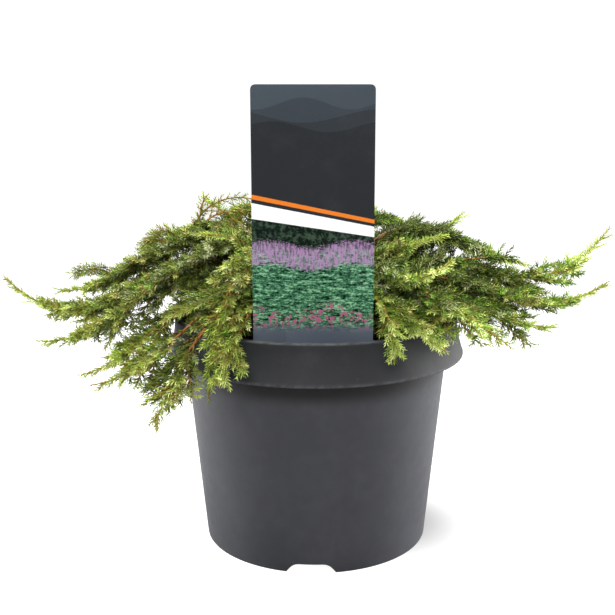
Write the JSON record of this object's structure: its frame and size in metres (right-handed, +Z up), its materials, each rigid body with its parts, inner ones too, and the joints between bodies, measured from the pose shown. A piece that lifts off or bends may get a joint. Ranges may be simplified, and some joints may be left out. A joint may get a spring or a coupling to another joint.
{
  "type": "potted green carpet juniper",
  "caption": "Low spreading conifer with arching needle shoots, growing in a round tapered plastic nursery pot with a tall plant label stuck into the compost.",
  "frame": {"origin": "centre of the pot's flat underside, on the surface it stands on", "axes": "+Z up, +X to the right along the label's width and the longest extent, the label on the -Y side"},
  "size_m": [0.3971, 0.2756, 0.288],
  "materials": {
    "pot_plastic": "satin anthracite injection-moulded plastic",
    "compost": "dark crumbly bark and peat compost",
    "label_card": "printed semi-gloss plastic card",
    "bark": "thin flaking orange-brown bark",
    "foliage_deep": "deep green needles",
    "foliage_middle": "mid green needles",
    "foliage_young": "yellow-green young needles"
  },
  "bodies": {
    "root": {"pot": "pot_plastic", "growing_medium": "compost", "plant_label": "label_card", "stem": "bark", "bough_left_1": "bark", "foliage_left_1": "foliage_deep", "bough_left_2": "bark", "foliage_left_2": "foliage_deep", "bough_left_3": "bark", "foliage_left_3": "foliage_deep", "bough_left_4": "bark", "foliage_left_4": "foliage_deep", "bough_left_5": "bark", "foliage_left_5": "foliage_deep", "bough_left_6": "bark", "foliage_left_6": "foliage_deep", "bough_left_7": "bark", "foliage_left_7": "foliage_young", "bough_left_8": "bark", "foliage_left_8": "foliage_young", "foliage_left_9": "foliage_middle", "foliage_left_10": "foliage_middle", "foliage_left_11": "foliage_middle", "bough_right_1": "bark", "foliage_right_1": "foliage_deep", "bough_right_2": "bark", "foliage_right_2": "foliage_deep", "bough_right_3": "bark", "foliage_right_3": "foliage_deep", "bough_right_4": "bark", "foliage_right_4": "foliage_young", "bough_right_5": "bark", "foliage_right_5": "foliage_young", "bough_right_6": "bark", "foliage_right_6": "foliage_young", "foliage_right_7": "foliage_middle", "bough_right_8": "bark", "foliage_right_8": "foliage_deep", "foliage_right_9": "foliage_middle", "foliage_right_10": "foliage_middle", "foliage_right_11": "foliage_middle", "bough_back_1": "bark", "foliage_back_1": "foliage_deep", "bough_back_2": "bark", "foliage_back_2": "foliage_deep", "bough_back_3": "bark", "foliage_back_3": "foliage_deep", "bough_back_4": "bark", "foliage_back_4": "foliage_deep", "bough_back_5": "bark", "foliage_back_5": "foliage_deep", "bough_back_6": "bark", "foliage_back_6": "foliage_deep", "foliage_middle_1": "foliage_middle", "foliage_middle_2": "foliage_middle", "foliage_middle_3": "foliage_middle", "foliage_middle_4": "foliage_middle", "foliage_middle_5": "foliage_middle", "foliage_middle_6": "foliage_middle"}
  },
  "joints": []
}
